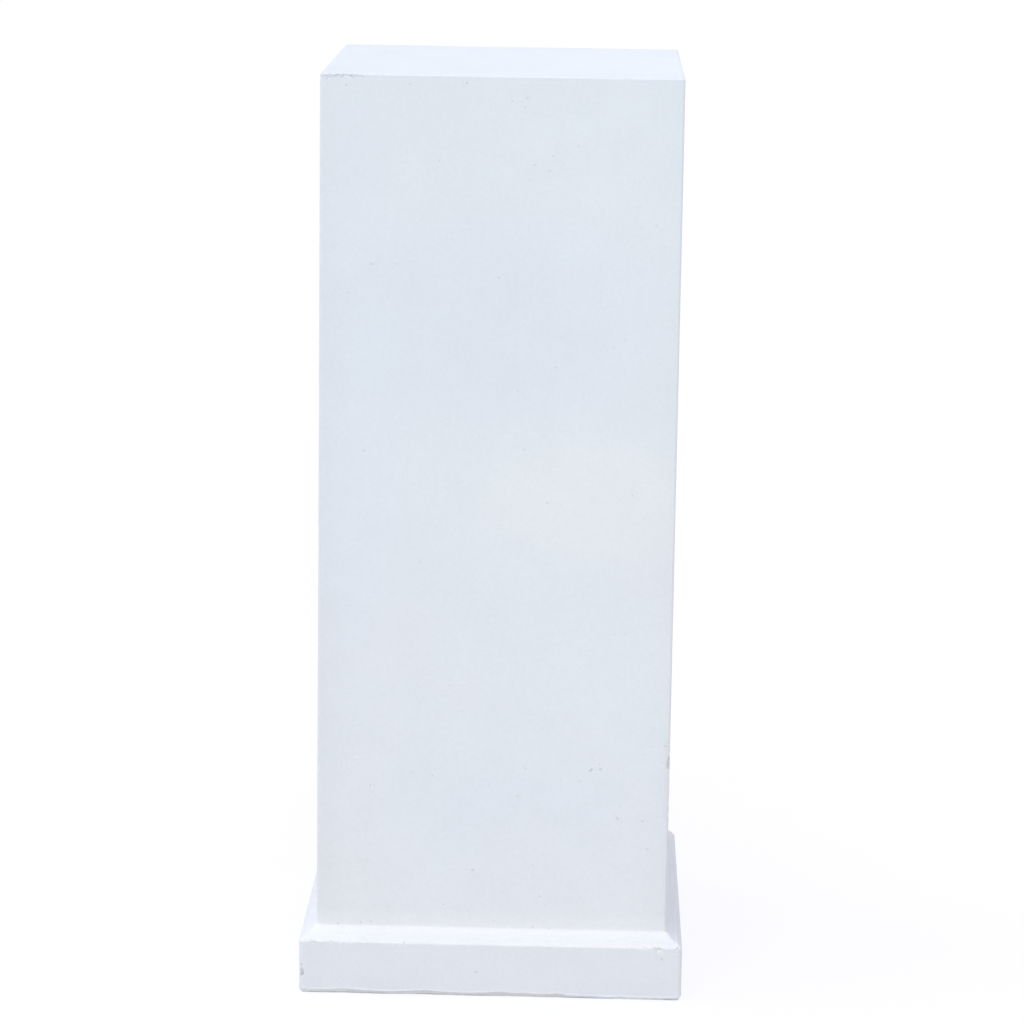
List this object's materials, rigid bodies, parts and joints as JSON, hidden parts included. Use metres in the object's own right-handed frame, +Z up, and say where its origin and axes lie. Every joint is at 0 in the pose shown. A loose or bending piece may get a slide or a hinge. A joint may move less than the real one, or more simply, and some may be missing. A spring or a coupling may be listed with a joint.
{
  "type": "square display pedestal",
  "caption": "Plain square pedestal with a tall drafted shaft on a low splayed plinth, to stand a pot, bust or figure on.",
  "frame": {"origin": "middle of the underside, on the ground", "axes": "+Z up along the shaft, -Y out of the front face, +X to the right as the front is seen"},
  "size_m": [0.3286, 0.3286, 0.785],
  "materials": {
    "painted_cast_stone": "matt white paint, brushed, on cast stone"
  },
  "bodies": {
    "root": {"pedestal": "painted_cast_stone"}
  },
  "joints": []
}
